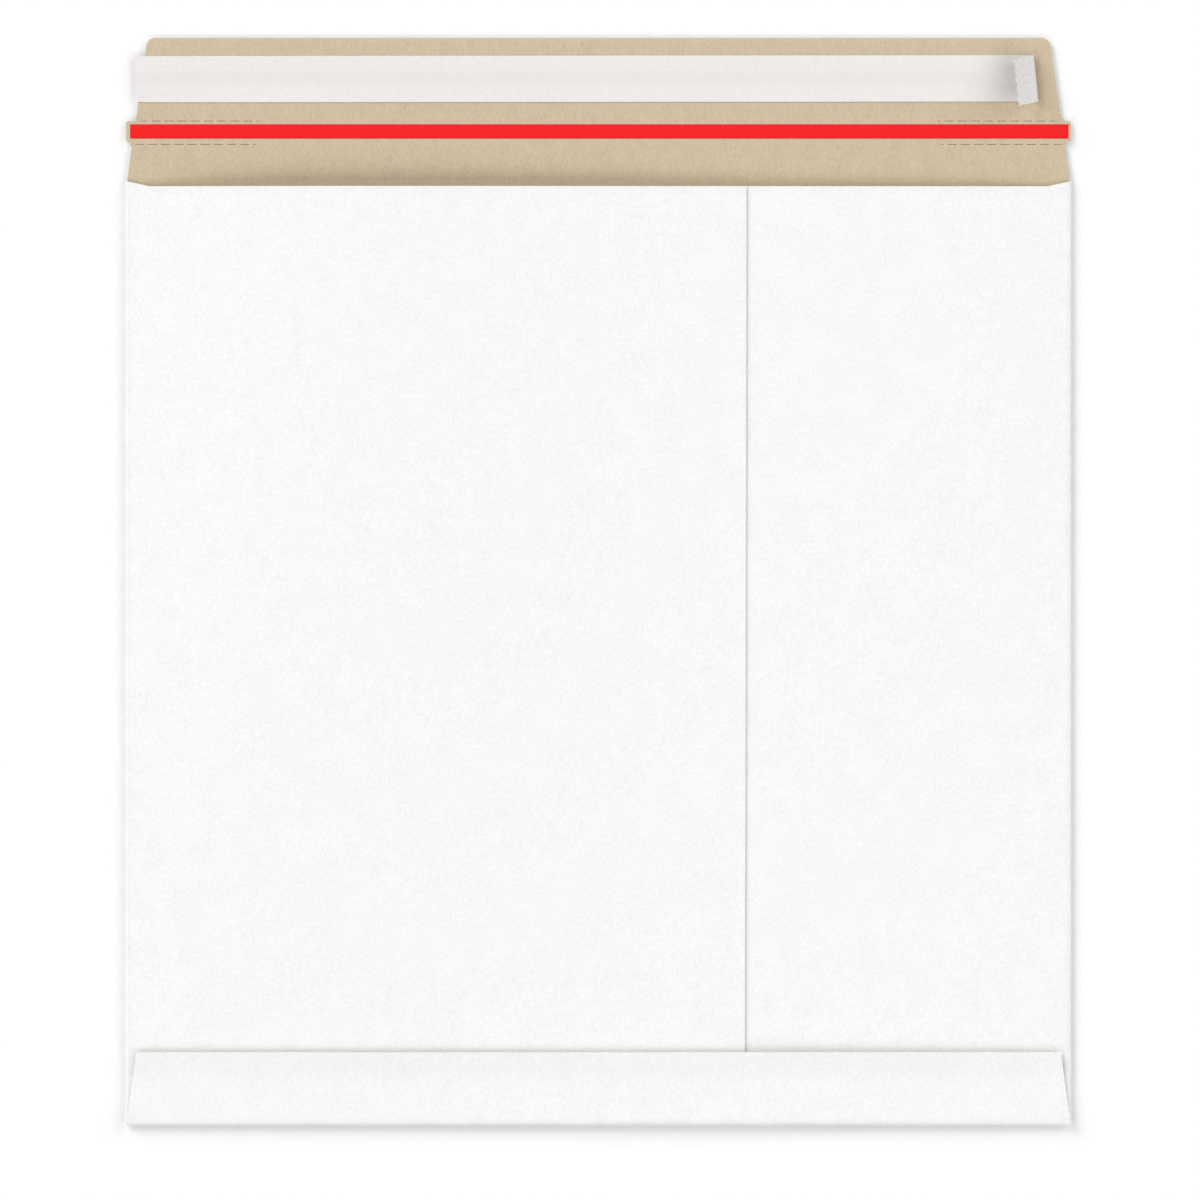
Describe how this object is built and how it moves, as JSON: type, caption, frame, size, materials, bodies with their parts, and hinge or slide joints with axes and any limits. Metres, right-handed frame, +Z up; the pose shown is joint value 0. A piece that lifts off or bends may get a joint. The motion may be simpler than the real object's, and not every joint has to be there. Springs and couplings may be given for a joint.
{
  "type": "cardboard envelope",
  "caption": "Flat square board mailing envelope, white outside and brown inside, lying back up with its sealing flap open, peel-off liner and red tear tape.",
  "frame": {"origin": "on the surface that the envelope lies on, under the middle of its whole outline with the flap open", "axes": "+Z up from the address face to the seam side, +Y from the bottom fold to the closing flap, +X to the right seen from above"},
  "size_m": [0.34, 0.391, 0.01],
  "materials": {
    "board": "white clay-coated lining outside, brown recycled fibre inside, matte",
    "glue": "thin dried film, semi-matte",
    "adhesive": "tacky, slightly glossy",
    "liner": "smooth silicone-coated paper with a soft sheen",
    "tape": "thin red film, soft gloss"
  },
  "bodies": {
    "root": {"board": "board", "seam_glue": "glue", "bottom_flap_glue": "glue", "seal_adhesive": "adhesive", "release_liner": "liner", "tear_tape": "tape"}
  },
  "joints": []
}
